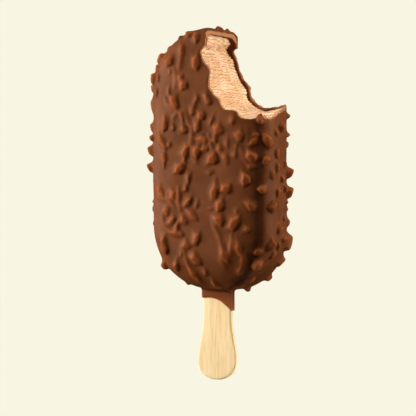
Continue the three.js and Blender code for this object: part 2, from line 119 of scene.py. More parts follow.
NUT_LENGTHS = (6, 2.8)  # of the first and the last scattered nut
NUT_SIZES = (0.85, 1.15)  # how much those vary
NUT_WIDTHS = (0.45, 0.75)  # in lengths
NUT_TURNS = (-75, 45)
NUT_NEAR = 0.6  # a draw that is further from the chocolate is left out
LISTED_WAY = Vector((0.51, 0, 0.86))  # all nuts that face this way are listed
LISTED_FACING = 0.15
NECK_CLEAR = 11.0  # no scattered nut lies nearer to the middle of the neck
AT_END = 0.98  # nuts that face this much along the bar are turned from its width

# Nuts as (x, y, z, length, width, turn), the turn in degrees clockwise from the bar's
# length. Each is moved onto the chocolate.
PLACED_NUTS = [
    # Front, from the top down.
    (-3, 97.5, 13, 6.4, 3.6, 0), (-9, 92.8, 13, 5.8, 2.8, -20), (-15, 89, 13, 6, 4.6, 50),
    (-2.6, 87.4, 13, 7.6, 4.6, -10), (-14.6, 84.6, 13, 2.8, 2.2, 0), (-9.5, 82.2, 13, 4, 3, 30),
    (-21.2, 82.6, 12, 4.8, 2.4, -10), (-8.3, 79, 13, 5.4, 4.6, 20), (-22.4, 77, 12, 5, 2.6, 0),
    (-15.4, 76.4, 13, 6, 2, 5), (-2.5, 73.4, 13, 4.6, 2.6, 20), (2.4, 73, 13, 6.2, 3.8, -35),
    (-12.4, 73, 13, 7.4, 4, -30), (-4.2, 69.2, 13, 5.6, 3, 10), (-9, 67.4, 13, 5.6, 2.8, -15),
    (-0.3, 67.3, 13, 4.8, 4, -30), (4.2, 64.8, 13, 5.4, 2.6, 30), (13.6, 64.6, 13, 4.6, 3, 20),
    (-17.3, 64.4, 13, 6.8, 3.6, 8), (-13, 62.8, 13, 3.2, 2.6, 0), (-2.2, 62.7, 13, 5.8, 3.6, 0),
    (-8.2, 61.8, 13, 4.4, 3.6, -35), (7.4, 61.6, 13, 6.4, 5.2, -40), (22.6, 59, 12, 4, 2.6, 80),
    (16.5, 58.4, 13, 6.2, 4.2, -20), (0.3, 57.6, 13, 7.2, 3.6, -62), (6, 57.3, 13, 3.6, 3, 0),
    (-17.8, 57, 12, 8.8, 3.6, -38), (-14.8, 56.2, 13, 2.8, 2.4, 0), (22, 56, 12, 5.2, 3.2, 60),
    (11.5, 55.6, 13, 5.2, 2.4, 5), (15.5, 54.5, 13, 2.6, 2, 0), (1.6, 54, 13, 4.6, 3.2, 75),
    (8.3, 53.4, 13, 4.6, 2.8, -10), (-2.4, 53.2, 13, 6.8, 4.6, 5), (-7.4, 53, 13, 6.8, 4, 20),
    (-17.2, 51.4, 12, 4.8, 3.4, -30), (14.8, 51, 13, 4.2, 2.8, 0), (20.8, 50.8, 12, 8, 5, -45),
    (4.6, 50, 13, 7.6, 5.4, 50), (11.1, 49.4, 13, 6.6, 2.8, -22), (-7.6, 49, 13, 3.4, 2.4, 0),
    (-17.4, 48.4, 12, 3.8, 2.6, 0), (-10.4, 47, 13, 6.6, 5.4, 40), (21, 46.7, 12, 5, 2.8, 80),
    (4.2, 44.8, 13, 3.8, 2.4, 80), (-6, 43, 13, 6.6, 3, 12), (18.7, 41.6, 12, 6.8, 4.6, -5),
    (-7.3, 39, 13, 3.6, 2.8, -20), (11.2, 38.4, 13, 5.6, 4.8, 80), (-18.8, 38, 12, 7.4, 3.6, -38),
    (5.5, 37.2, 13, 9.6, 4.4, 4), (-13, 36.6, 13, 5.2, 4, 15), (-10.3, 35, 13, 7.6, 2.4, 0),
    (-6.2, 33.7, 13, 5.8, 3.8, 55), (-2.2, 32.6, 13, 3.8, 2.4, 12), (8.5, 32, 13, 6.4, 4.8, -5),
    (20.8, 31.4, 12, 7.4, 3.8, -45), (4.4, 31, 13, 3, 1.8, 80), (-15.8, 30, 13, 4.6, 3.2, -10),
    (15.4, 29.4, 13, 2.8, 2.2, 0), (-3.6, 28.2, 13, 7.8, 3.2, -50), (-13.6, 26.6, 13, 5, 3.6, 40),
    (-8.1, 26.4, 13, 4.8, 3.4, -50), (7.9, 26.2, 13, 7, 4.8, -28), (14.3, 24.7, 13, 8.4, 4.6, 37),
    (-11.3, 24, 13, 3.4, 2.6, 0), (19.5, 22.3, 12, 4, 3, 5), (-10.9, 21.7, 13, 7.4, 3, -75),
    (-2.4, 19.5, 13, 7, 4.2, 15), (-17.6, 17, 12, 8.6, 4.6, -6), (-6.5, 17, 13, 4.8, 3.2, -60),
    (13, 16.4, 13, 7.4, 2.6, 8), (16.4, 14.8, 13, 8, 3.4, -22), (22.6, 13.8, 10, 5, 3.2, 80),
    (-9.6, 13.6, 13, 3.2, 2.6, 0), (10.5, 12.2, 13, 8.2, 3.2, -25),
    (-2.7, 11.2, 13, 7.8, 4.4, -33), (17.6, 10.4, 12, 5.6, 2.6, 0), (-12.8, 8.9, 12, 5, 4, 10),
    (15, 6.8, 10, 5.2, 3, 10), (0.6, 6.4, 12, 3.6, 3, 0), (-3.9, 5.2, 11, 8.4, 3.6, -18),
    (3.8, 2.6, 8, 8, 3.4, -20), (6.4, 0, 3, 5, 3, 90),
    # Left edge, from the top down.
    (-1.4, 102, -2, 8, 3.4, 90), (-1.2, 102, -8, 5, 3, 60), (-6.2, 99, 11.4, 6.4, 4.2, 80),
    (-14, 98.6, 6, 4, 2.2, 50), (-18.6, 95, 7, 5, 3, 45), (-22.3, 91.6, 9.2, 6.4, 4.6, 25),
    (-24.3, 87.8, 7, 4.4, 4, 10), (-25, 83.6, 9, 6.6, 4.8, 0), (-25.4, 79.4, 6.8, 4.6, 3.6, 0),
    (-25.6, 72, 8.8, 7.6, 3, 0), (-25.6, 63.8, 7, 5.6, 3.6, 0), (-25.6, 59.8, 9, 4.4, 4.4, 0),
    (-25.4, 55, 8, 7.6, 5.4, -25), (-25.4, 48.4, 7, 6.4, 5.6, 0), (-25.8, 31.8, 8, 4, 2, 0),
    (-25.8, 26, 6.6, 3.2, 2, 0), (-20.5, 9.6, 8, 5.4, 4.6, 40),
    # Right edge and side, from the top down.
    (25.6, 67.4, -8, 4, 3.4, 0), (23.8, 64.6, 10, 5.6, 3.8, -10), (27, 62.5, -1, 6.5, 4.6, -10),
    (26.8, 60, 2.6, 5, 3, -30), (25.6, 60, -8, 3.6, 3.2, 0), (26, 56.8, 8, 8, 5, -25),
    (26.8, 52.4, 2.6, 6.6, 3.4, 0), (27, 48.6, -4, 4, 3, 0), (25.6, 49.2, 9, 5.6, 3.8, 40),
    (26.8, 46.8, 2.4, 6, 3.2, -10), (26.6, 43.6, 5.6, 5.4, 3, 10), (25.6, 45.4, -8, 7.6, 5.6, 10),
    (27, 42.4, -1.6, 5, 3.2, -5), (27, 38.6, -4.4, 5.6, 3.2, -35), (24.6, 38, 10, 5.6, 4.6, 15),
    (25.6, 37.6, -8, 7.6, 5.4, 15), (26.8, 36.8, 2, 6, 3.2, 10), (26.4, 33.6, -5.6, 4, 2.8, 60),
    (26.2, 31.6, 5.5, 6.8, 4.8, 30), (25.8, 31, -8, 3, 2, 0), (27, 27.5, -3, 4.2, 2.8, 0),
    (25.8, 26, -8, 5, 3, 0), (27, 23, 1, 5.6, 4, 30), (26.4, 19.6, -3.6, 5.6, 3.4, 60),
    (25.4, 18.6, -8, 9.6, 5, 20), (25.6, 17, 5.4, 7.2, 4.8, 20), (26.2, 16.2, 0, 4.2, 3, 0),
    (25.2, 12.8, 2.4, 5.2, 3.4, 40), (23.6, 10.8, -7, 8.6, 3.8, 35), (21.2, 9, 8.4, 7.6, 5.8, 10),
    (16.5, 4.6, 5, 7, 3.6, 70), (18, 4, -7, 6, 3.8, 40), (11.7, 2.2, 5, 6, 3, 60),
    (10, 0.8, -4, 7.6, 3.6, 80),
    # Back: the bar rests on the flats of these.
    (0, 44, -13, 8, 6, 20), (-12, 77, -13, 7, 5.4, 30), (14, 56, -13, 7, 5.6, 0),
    (-13, 22, -13, 7, 5.4, -20), (13, 20, -13, 7, 5.6, 40),
]

# ---- Looks, in millimetres ----

VOXEL = 0.32  # spacing of the chocolate's grid
CREAM_VOXEL = 0.22
BITE_VOXEL = 0.5  # of the coarse grid that the bite is worked out on
BITE_LEVEL = 4  # steps of that grid between two outlines of the bite
COATING_BOX = ((-31, -10, -16), (31, 106, 17))  # corners of the chocolate's grid
CREAM_BOX = ((-27, 0, -13), (27, 103, 13))
COATING_TRIANGLES = 190000
CREAM_TRIANGLES = 190000
# Straight pieces from one listed place to the next.
BITE_STEPS = 6
RUN_STEPS = 3
COLLAR_STEPS = 6
STICK_SIDE_STEPS = 8
SETTLE_STEPS = 12  # to move a point onto the smooth chocolate
FAR = 9.0  # more than any distance that matters

NUT_ROUNDING = (0.2, 0.15)  # softness of a nut's edges at the bar's edges, and in front
EXPONENT_LIMIT = 60  # keeps the sum behind that softness in range
# The chocolate ran down over the nuts: it fills the corner above a nut, and hardly the
# one below it, at the bar's edges and in front.
FILLET_ABOVE = (1.3, 2.0)
FILLET_BELOW = (0.45, 0.35)
FILLET_LIMIT = 0.6  # of any fillet, in the nut's widths
FILLET_SPAN = 0.35  # how far either side of a nut's middle it changes, in lengths
UPHILL = (-0.75, 0.66, 0)  # the way to the corner above a nut of the front
UPHILL_AT_SIDE = (0.25, 0.7, -0.66)  # and above one of the right side
SIDE_FROM = 20  # the x where the right side begins

# Where the chocolate ran and set, as a radius and (x, y) to (x, y) on the front.
RUNS = [
    (0.75, [(-7.6, 69.3), (-6.4, 64.9), (-4.7, 62.7), (-4.6, 59), (-4.9, 55), (-4, 51.7),
            (-2.5, 49.2)]),
    (0.8, [(-17.2, 75), (-16, 72.6), (-14, 71), (-11.4, 69.2), (-13, 66.8)]),
    (0.6, [(3, 59.5), (3.6, 57), (4.7, 53.6)]),
    (0.6, [(-10.2, 39.5), (-11, 36), (-10.2, 33), (-9.8, 31)]),
    (0.6, [(-14.4, 38.4), (-16, 36.6), (-14.2, 33.8), (-12.4, 32)]),
    (0.75, [(-16.3, 32.4), (-18.4, 30.2), (-18.4, 27.6), (-17.7, 25), (-15, 22.8),
            (-12, 21.2), (-9, 20.8)]),
    (0.7, [(4.7, 27), (6, 23.2), (7.3, 21.2), (8.4, 18), (9.2, 15)]),
    (0.8, [(-8.4, 17), (-8, 14), (-7, 10), (-5.8, 7.3), (-4.6, 4.4)]),
    (0.7, [(9.3, 13.4), (8.6, 11), (9.8, 8.4)]),
    (0.75, [(14.6, 19), (13, 15.6), (12.5, 12.8)]),
    (0.7, [(19, 13.6), (18.4, 11), (17.8, 8), (16.4, 6)]),
    (0.65, [(19.6, 60.4), (20, 56.8), (20.8, 54.6)]),
    (0.7, [(-9.2, 93.4), (-9.8, 89.6), (-10.2, 86)]),
    (0.7, [(-13, 86), (-11.8, 82.4), (-12.2, 79)]),
    (0.7, [(-22, 39.4), (-20.8, 36.6), (-17.2, 35.2)]),
    (0.65, [(17, 54.4), (18.4, 50.6), (20, 47.8)]),
    (0.6, [(7.6, 53.4), (9.6, 50.6), (11.2, 48)]),
    (0.65, [(-18.4, 16), (-17, 13), (-15, 11)]),
]
RUN_SINK = 0.4  # depth of a run's middle under the smooth chocolate
RUN_TAPER = (0.12, 0.8)  # the stretch of half a wave that a run's radius follows
RUN_MARGIN = 3  # how far round it a run changes the chocolate

# How softly one form runs into another.
RUN_BLEND = 1.5
COLLAR_BLEND = 1.2
COLLAR_ROUNDING = 0.5
COLLAR_RIM_ROUNDING = 0.6
BREAK_ROUNDING = 0.35
REST_ROUNDING = 0.2
CREAM_ROUNDING = 0.2

# Unevenness: layers of noise, each as its height, the size of its cells and its seed.
COATING_WAVES = [(0.22, (9, 14, 9), 5), (0.07, (3, 5, 3), 6)]
BREAK_WAVES = [(0.3, (1.7, 1.7, 1.7), 11), (0.14, (0.8, 0.8, 0.8), 12)]
CREASE_WAVES = [(0.62, (1.6, 1.5, 1.1), 20), (0.7, (5.0, 4.0, 4.0), 21)]
CREASE_STRENGTH = [(0.6, (2.2, 1.5, 2.4), 22)]
CREAM_WAVES = [(0.2, (4.0, 3.0, 4.0), 23), (0.06, (0.6, 0.5, 0.7), 24)]

CREASE = 1.45  # from one crease of the bitten ice cream to the next
CREASE_DEPTH = 0.66
CREASE_USUAL = 0.7  # the strength that CREASE_STRENGTH varies
CREASE_MEAN = 0.6  # about the mean of a crease's wave
CREASE_SLANT = 0.6  # how far a crease rises toward the right
CREAM_TOP_GAP = 1.5  # how far the ice cream has broken away behind the top's lip
CREAM_TOP_FROM = (91, 4)  # the y where that begins, and over how far
CREAM_OVERLAP = 0.06  # how far the ice cream reaches into the coating
STICK_OVERLAP = 0.1  # and the coating into the stick
THIN_COAT = 0.9  # the coating's thickness at the bite's lower right corner
THIN_FROM = (15, 52)  # the x and y where that begins
THIN_OVER = 5  # over how far it sets in
THIN_FADE = 3  # it fades from half to 1.5 times this distance from the bite

# Painted shade darkens the chocolate along the rounded right edge, where it faces between these
# angles.
PAINTED_SHADE_FACING = (20, 36, 46, 62)  # degrees from the front toward the right
# The broken coating is pale, and deeper under the smooth bar, on the inner wall seen behind
# the ice cream, it gets painted shade: the depths where that sets in and is full, and the full
# shares.
PALE_DEPTHS = (0.2, 0.4, 1.0, 1.5)
PALE_SHARE = 0.9
SHADE_DEPTHS = (1.5, 1.6)
SHADE_SHARE = 0.3
# The same for the thicker coating at the top, and the y where that sets in and is full.
PALE_DEPTHS_AT_TOP = (1.1, 1.4)
SHADE_DEPTHS_AT_TOP = (2.6, 2.8)
TOP_FROM = (96.5, 98)
COATING_PASSES = 14  # of smoothing, to find a surface's relief
CREAM_PASSES = 8
SMOOTHING = 0.6  # how far a pass moves a point to its neighbours' mean

STICK_ROUNDING = 0.55
STICK_ROUNDING_STEPS = 5
STICK_RIM = 3 * STICK_ROUNDING  # width of the strip of a face next to the rounding
STICK_END_STEPS = 28
STICK_NECK_STEPS = 5

# ---- The camera, as a long lens that sees the bar's right side ----

IMAGE_SIZE = 416
PIXELS_PER_MM = 2.567
CAMERA_TURN = 31.0  # degrees round the bar's length, toward its right side
CAMERA_TIP = -3.0  # degrees toward the bitten top
CAMERA_DISTANCE = 1000.0
CAMERA_CLIP = (0.05, 20)  # metres
FOOT_PIXEL = (219.8, 289.8)  # where the bar's lower end is in the image
SENSOR = 36.0
FLOOR_REACH = 3.0  # metres from its middle to its sides


def bar_shift():
    """The step from bar coordinates to the row frame, in millimetres."""
    low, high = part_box("stick")
    return np.array([
        500 * (low[0] + high[0]) - STICK_X, 1000 * low[1] + STICK_OUT, 500 * (low[2] + high[2])])


SHIFT = bar_shift()


def bar_to_row(points):
    return (np.asarray(points, float) + SHIFT) / 1000


# ---- Seeded draws and the bar's smooth form ----

NARROW_END_Y = STICK_LENGTH - STICK_OUT - NARROW_END_RADIUS
HALF_WIDTH = BAR_WIDTH / 2
HALF_THICKNESS = BAR_THICKNESS / 2
# Lower and upper corners, each as (left, right).
CORNERS = ((BOTTOM_LEFT_RADIUS, BOTTOM_RIGHT_RADIUS), (TOP_LEFT_RADIUS, TOP_RIGHT_RADIUS))
SHOULDER = min(map(min, CORNERS)) - SPINE_RADIUS


class Draws:
    """A linear congruential generator, the same as the CAD model's."""

    def __init__(self, seed):
        self.state = seed

    def __call__(self):
        self.state = (self.state * 1664525 + 1013904223) % 4294967296
        return self.state / 4294967296


def mix(a, b, t):
    return a + (b - a) * t


def place_in_outline(x, y, lowered):
    """The distance inside the bar's outline, and how square the edge is there."""
    from_middle = y - BAR_LENGTH / 2
    radius = np.array(CORNERS)[(from_middle >= 0).astype(int), (x >= 0).astype(int)]
    across = np.abs(x) - HALF_WIDTH + radius
    along = np.abs(from_middle) - BAR_LENGTH / 2 + radius + np.where(from_middle >= 0, lowered, 0)
    corner = np.hypot(np.maximum(across, 0), np.maximum(along, 0))
    upward = np.where(from_middle > 0, np.maximum(along, 0), 0) / np.maximum(corner, 1e-9)
    depth = radius - corner - np.minimum(np.maximum(across, along), 0)
    return depth, mix(EDGE_POWER, TOP_EDGE_POWER, upward ** 2)


def body_distance(x, y, z, inset=0.0, lowered=0.0):
    """About the distance outside the smooth bar, made smaller all round by inset and at
    the top by lowered more."""
    shoulder = SHOULDER - inset
    depth, power = place_in_outline(x, y, lowered)
    edge = np.maximum(SHOULDER - depth, 0) / shoulder
    height = np.abs(z) / (HALF_THICKNESS - inset)
    size = (edge ** power + height ** power) ** (1 / power)
    size = np.maximum(size, 0.2)  # the bar's middle, where there is no slope
    across = (edge / size) ** (power - 1) / shoulder
    up = (height / size) ** (power - 1) / (HALF_THICKNESS - inset)
    return (size - 1) / np.sqrt(across ** 2 + up ** 2 + 1e-9)


def level(p):
    """The CAD model's level for one point, below 0 inside the smooth bar."""
    x, y, z = p
    from_middle = y - BAR_LENGTH / 2
    radius = CORNERS[from_middle >= 0][x >= 0]
    across = abs(x) - HALF_WIDTH + radius
    along = abs(from_middle) - BAR_LENGTH / 2 + radius
    corner = math.hypot(max(across, 0), max(along, 0))
    upward = along / corner if from_middle > 0 and along > 0 else 0
    power = mix(EDGE_POWER, TOP_EDGE_POWER, upward ** 2)
    depth = radius - corner - min(max(across, along), 0)
    edge = max(SHOULDER - depth, 0) / SHOULDER
    height = abs(z) / HALF_THICKNESS
    return (edge ** power + height ** power) ** (1 / power) - 1


def level_slope(p):
    step = 0.01
    slope = []
    for axis in range(3):
        ahead = list(p)
        behind = list(p)
        ahead[axis] += step
        behind[axis] -= step
        slope.append((level(ahead) - level(behind)) / (2 * step))
    return Vector(slope)


def settle(start):
    """Moves a point onto the smooth chocolate."""
    p = Vector(start)
    for _ in range(SETTLE_STEPS):
        slope = level_slope(p)
        p = p - slope * (level(p) / slope.length_squared)
    return p


# ---- Nuts ----

def scatter(nuts):
    """Adds nuts on the left, the back and the ends, the longest first."""
    random = Draws(NUT_SEED)
    nuts = list(nuts)
    for i in range(NUT_TRIES):
        start = (
            mix(-HALF_WIDTH - 1, HALF_WIDTH + 1, random()),
            mix(-1, BAR_LENGTH + 1, random()),
            mix(-HALF_THICKNESS - 1, HALF_THICKNESS + 1, random()),
        )
        length = mix(*NUT_LENGTHS, math.sqrt(i / NUT_TRIES)) * mix(*NUT_SIZES, random())
        width = length * mix(*NUT_WIDTHS, random())
        turn = mix(*NUT_TURNS, random())
        if abs(level(start) / level_slope(start).length) >= NUT_NEAR:
            continue
        place = settle(start)
        if level_slope(place).normalized().dot(LISTED_WAY) >= LISTED_FACING:
            continue
        if math.hypot(place.x - STICK_X, place.y, place.z) <= NECK_CLEAR:
            continue
        if any((p - place).length < NUT_SPACING * (size + length) / 2 for p, size, _, _ in nuts):
            continue
        nuts.append((place, length, width, turn))
    return nuts


def nut_corners(nut, random):
    """A chipped nut: the corners of its foot and its top, where it stands on the smooth
    chocolate, the direction out of that, and its length and width."""
    place, length, width, turn = nut
    point = settle(place)
    outward = level_slope(point).normalized()
    lengthwise = Vector((1, 0, 0)) if abs(outward.y) > AT_END else Vector((0, 1, 0))
    lengthwise = (lengthwise - outward * lengthwise.dot(outward)).normalized()
    across = lengthwise.cross(outward)
    turn = math.radians(turn)
    long = lengthwise * math.cos(turn) + across * math.sin(turn)
    wide = long.cross(outward)
    front = max(outward.z, 0) ** 2
    proud = width * mix(*NUT_PROUD, front)
    sunk = width * mix(*NUT_SINK, front)
    downhill = DOWNHILL - outward * DOWNHILL.dot(outward)
    lowest = math.atan2(downhill.dot(wide), downhill.dot(long)) + mix(-1, 1, random())
    above = point + downhill * (NUT_LEAN * width)
    sides = 4 if length < FOUR_SIDED else 5
    start = random()
    corners = []
    for k in range(sides):
        angle = (start + k + mix(-NUT_UNEVEN, NUT_UNEVEN, random())) * 2 * math.pi / sides
        reach = mix(*NUT_REACH, random()) / 2
        top = mix(*NUT_TOP, random())
        height = proud * (1 - NUT_TILT * math.cos(angle - lowest))
        for middle, share, rise in ((point, reach, -sunk), (above, reach * top, height)):
            corners.append(
                middle
                + long * (share * math.cos(angle) * length)
                + wide * (share * math.sin(angle) * width)
                + outward * rise
            )
    return np.array(corners), np.array(point), np.array(outward), length, width


def hull_planes(corners):
    """The outer planes of a few corners' convex hull, as normals and offsets."""
    triples = np.array(list(itertools.combinations(range(len(corners)), 3)))
    a, b, c = (corners[triples[:, i]] for i in range(3))
    normals = np.cross(b - a, c - a)
    normals /= np.linalg.norm(normals, axis=1, keepdims=True) + 1e-12
    offsets = np.einsum("ij,ij->i", normals, a)
    sides = corners @ normals.T - offsets
    outer = (sides < 1e-6).all(axis=0)
    inner = (sides > -1e-6).all(axis=0)
    normals = np.concatenate([normals[outer], -normals[inner]])
    offsets = np.concatenate([offsets[outer], -offsets[inner]])
    return normals, offsets


def all_nuts():
    placed = [(settle((x, y, z)), length, width, turn)
              for x, y, z, length, width, turn in PLACED_NUTS]
    nuts = scatter(placed)
    return [nut_corners(nut, Draws(NUT_SEED + NUT_SEED_STEP * (i + 1)))
            for i, nut in enumerate(nuts)]


# ---- Grids and fields ----

class Grid:
    """Points at equal steps in bar coordinates."""

    def __init__(self, low, high, step):
        self.step = step
        self.axes = [np.arange(a, b + step, step, dtype=np.float32) for a, b in zip(low, high)]
        self.low = np.array(low, float)
        self.shape = tuple(len(axis) for axis in self.axes)
        self.x = self.axes[0][:, None, None]
        self.y = self.axes[1][None, :, None]
        self.z = self.axes[2][None, None, :]

    def block(self, low, high):
        """The slices that hold the points between two corners, and those points."""
        spans = []
        for axis, a, b in zip(self.axes, low, high):
            first = int(np.searchsorted(axis, a))
            last = int(np.searchsorted(axis, b))
            spans.append(slice(first, max(last, first)))
        return tuple(spans), (self.x[spans[0]], self.y[:, spans[1]], self.z[:, :, spans[2]])


def smooth_min(a, b, k):
    return np.minimum(a, b) - np.maximum(k - np.abs(a - b), 0) ** 2 / (4 * k)


def smooth_max(a, b, k):
    return -smooth_min(-a, -b, k)


def smooth_step(share):
    return share * share * (3 - 2 * share)


def blur(values, axis):
    """The mean of each value and its two neighbours along an axis."""
    ahead = np.roll(values, 1, axis)
    ahead += np.roll(values, -1, axis)
    return 0.25 * ahead + 0.5 * values


def blend_matrix(axis, cell, count, offset):
    """Weights that spread values given at every cell over the points of an axis."""
    place = (axis - axis[0]) / cell + offset
    first = np.floor(place).astype(int)
    share = smooth_step(place - first)
    weights = np.zeros((len(axis), count), np.float32)
    rows = np.arange(len(axis))
    weights[rows, first] = 1 - share
    weights[rows, first + 1] = share
    return weights


def grid_noise(grid, cells, seed):
    """Smooth noise from -1 to 1, with its own cell size along each axis."""
    random = np.random.RandomState(seed)
    offsets = random.rand(3)
    counts = [int((axis[-1] - axis[0]) / cell) + 4 for axis, cell in zip(grid.axes, cells)]
    values = random.uniform(-1, 1, counts).astype(np.float32)
    for dimension in range(3):
        weights = blend_matrix(
            grid.axes[dimension], cells[dimension], counts[dimension], offsets[dimension])
        values = np.moveaxis(np.tensordot(weights, values, (1, dimension)), 0, dimension)
    return values


def add_waves(values, grid, waves):
    for height, cells, seed in waves:
        values = values + height * grid_noise(grid, cells, seed)
    return values


def spline(points, steps):
    """A Catmull-Rom spline through 2-D points, as straight pieces."""
    points = np.asarray(points, float)
    padded = np.vstack([points[0], points, points[-1]])
    out = []
    for i in range(len(points) - 1):
        p0, p1, p2, p3 = padded[i:i + 4]
        for j in range(steps):
            t = j / steps
            v0, v1 = (p2 - p0) / 2, (p3 - p1) / 2
            out.append(
                (2 * p1 - 2 * p2 + v0 + v1) * t ** 3
                + (-3 * p1 + 3 * p2 - 2 * v0 - v1) * t ** 2 + v0 * t + p1)
    out.append(points[-1])
    return np.array(out)


def polygon_distance(x, y, polygon):
    """Signed distance to a closed outline, below 0 inside."""
    nearest = np.full(np.broadcast(x, y).shape, 1e9)
    inside = np.zeros(nearest.shape, bool)
    for (ax, ay), (bx, by) in zip(polygon, np.roll(polygon, -1, axis=0)):
        ex, ey = bx - ax, by - ay
        t = np.clip(((x - ax) * ex + (y - ay) * ey) / (ex * ex + ey * ey + 1e-12), 0, 1)
        nearest = np.minimum(nearest, (x - ax - t * ex) ** 2 + (y - ay - t * ey) ** 2)
        crosses = (ay > y) != (by > y)
        at = ax + (y - ay) * ex / ey if ey else np.inf
        inside ^= crosses & (x < at)
    distance = np.sqrt(nearest)
    return np.where(inside, -distance, distance)


def bite_distance(grid):
    """Signed distance to what the bite took away, below 0 in it."""
    front = spline([(a, b) for a, b, _, _ in BITE_EDGE], BITE_STEPS)
    rear = spline([(c, d) for _, _, c, d in BITE_EDGE], BITE_STEPS)
    high = [axis[-1] + more for axis, more in zip(grid.axes, (1, 1, 2))]
    coarse = Grid(grid.low, high, BITE_VOXEL)
    levels = coarse.axes[2][::BITE_LEVEL]
    planes = []
    for z in levels:
        share = (BITE_HALF_DEPTH - z) / (2 * BITE_HALF_DEPTH)
        outline = np.vstack([mix(front, rear, share), BITE_CORNER])
        planes.append(polygon_distance(coarse.axes[0][:, None], coarse.axes[1][None, :], outline))
    values = np.stack(planes, axis=2).astype(np.float32)
    # Straight interpolation from the coarse points to the grid's, axis by axis.
    for dimension, known in enumerate((coarse.axes[0], coarse.axes[1], levels)):
        wanted = grid.axes[dimension]
        place = np.clip((wanted - known[0]) / (known[1] - known[0]), 0, len(known) - 1.001)
        first = place.astype(int)
        share = (place - first).astype(np.float32)
        shape = [1, 1, 1]
        shape[dimension] = -1
        share = share.reshape(shape)
        lower = np.take(values, first, axis=dimension)
        upper = np.take(values, first + 1, axis=dimension)
        values = lower + (upper - lower) * share
    return values


def coat_depth(grid, bite):
    """The coating's thickness, which is less at the bite's lower right corner."""
    x, y = THIN_FROM
    corner = np.clip((grid.x - x) / THIN_OVER, 0, 1) * np.clip((grid.y - y) / THIN_OVER, 0, 1)
    return mix(COAT, THIN_COAT, corner * np.clip(1.5 - bite / THIN_FADE, 0, 1))


def stick_half_width(y):
    """Half the stick's width at some heights, with its round ends."""
    side = spline(STICK_SIDE, STICK_SIDE_STEPS)
    half = np.interp(y, side[:, 1], side[:, 0])
    widest = STICK_SIDE[0]
    down = np.clip((widest[1] - y) / WIDE_END_DEPTH, 0, 1)
    half = np.where(y < widest[1], widest[0] * np.sqrt(1 - down ** 2), half)
    up = np.clip((y - NARROW_END_Y) / NARROW_END_RADIUS, 0, 1)
    return np.where(y > NARROW_END_Y, NARROW_END_RADIUS * np.sqrt(1 - up ** 2), half)


def stick_distance(grid, margin):
    half = stick_half_width(grid.y.astype(float)) + margin
    flat = np.abs(grid.z) - STICK_THICKNESS / 2 - margin
    side = np.abs(grid.x - STICK_X) - half
    end = np.maximum(-STICK_OUT - margin - grid.y, grid.y - (STICK_LENGTH - STICK_OUT) - margin)
    return np.maximum(np.maximum(flat, side), end)


# ---- Chocolate ----

def capsule_distance(x, y, z, start, end, radius):
    axis = end - start
    t = (x - start[0]) * axis[0] + (y - start[1]) * axis[1] + (z - start[2]) * axis[2]
    t = np.clip(t / axis.dot(axis), 0, 1)
    return np.sqrt(
        (x - start[0] - t * axis[0]) ** 2 + (y - start[1] - t * axis[1]) ** 2
        + (z - start[2] - t * axis[2]) ** 2) - radius


def add_run(field, grid, radius, places):
    """Lays a run of chocolate along some places of the front, thin at both ends."""
    line = [np.array(settle((x, y, HALF_THICKNESS))) - (0, 0, RUN_SINK)
            for x, y in spline(places, RUN_STEPS)]
    at, (x, y, z) = grid.block(
        np.min(line, axis=0) - RUN_MARGIN, np.max(line, axis=0) + RUN_MARGIN)
    run = np.full(field[at].shape, FAR, np.float32)
    begin, extent = RUN_TAPER
    for i, (start, end) in enumerate(zip(line, line[1:])):
        width = radius * math.sin(math.pi * (begin + extent * i / (len(line) - 1)))
        run = np.minimum(run, capsule_distance(x, y, z, start, end, width))
    field[at] = smooth_min(field[at], run, RUN_BLEND)


def add_nut(field, grid, corners, point, outward, length, width):
    """Blends in a nut, with more chocolate in the corner above it than below it."""
    normals, offsets = hull_planes(corners)
    margin = max(FILLET_ABOVE)
    at, (x, y, z) = grid.block(corners.min(axis=0) - margin, corners.max(axis=0) + margin)
    total = np.zeros(field[at].shape, np.float32)
    front = max(outward[2], 0) ** 2
    rounding = mix(*NUT_ROUNDING, front)
    for (nx, ny, nz), offset in zip(normals, offsets):
        outside = (nx * x + ny * y + nz * z - offset) / rounding
        total += np.exp(np.minimum(outside, EXPONENT_LIMIT))
    nut = np.log(total + 1e-20) * rounding
    uphill = np.array(UPHILL if point[0] < SIDE_FROM else UPHILL_AT_SIDE)
    uphill -= outward * uphill.dot(outward)
    uphill /= np.linalg.norm(uphill)
    up = uphill[0] * (x - point[0]) + uphill[1] * (y - point[1]) + uphill[2] * (z - point[2])
    share = np.clip(up / (FILLET_SPAN * length) * 0.5 + 0.5, 0, 1)
    least = mix(*FILLET_BELOW, front)
    most = min(mix(*FILLET_ABOVE, front), FILLET_LIMIT * width)
    field[at] = smooth_min(field[at], nut, mix(least, most, smooth_step(share)))


def collar_distance(grid):
    """About the distance outside the collar on the neck of the stick."""
    half = stick_half_width(grid.y.astype(float)) + COLLAR_COAT
    edge_points = spline(COLLAR_EDGE, COLLAR_STEPS)
    edge = np.interp(grid.x - STICK_X, edge_points[:, 0], edge_points[:, 1])
    collar = smooth_max(np.abs(grid.x - STICK_X) - half,
                        np.abs(grid.z) - STICK_THICKNESS / 2 - COLLAR_COAT, COLLAR_ROUNDING)
    collar = smooth_max(collar, edge - grid.y, COLLAR_RIM_ROUNDING)
    return np.maximum(collar, grid.y - COLLAR_ROOT)


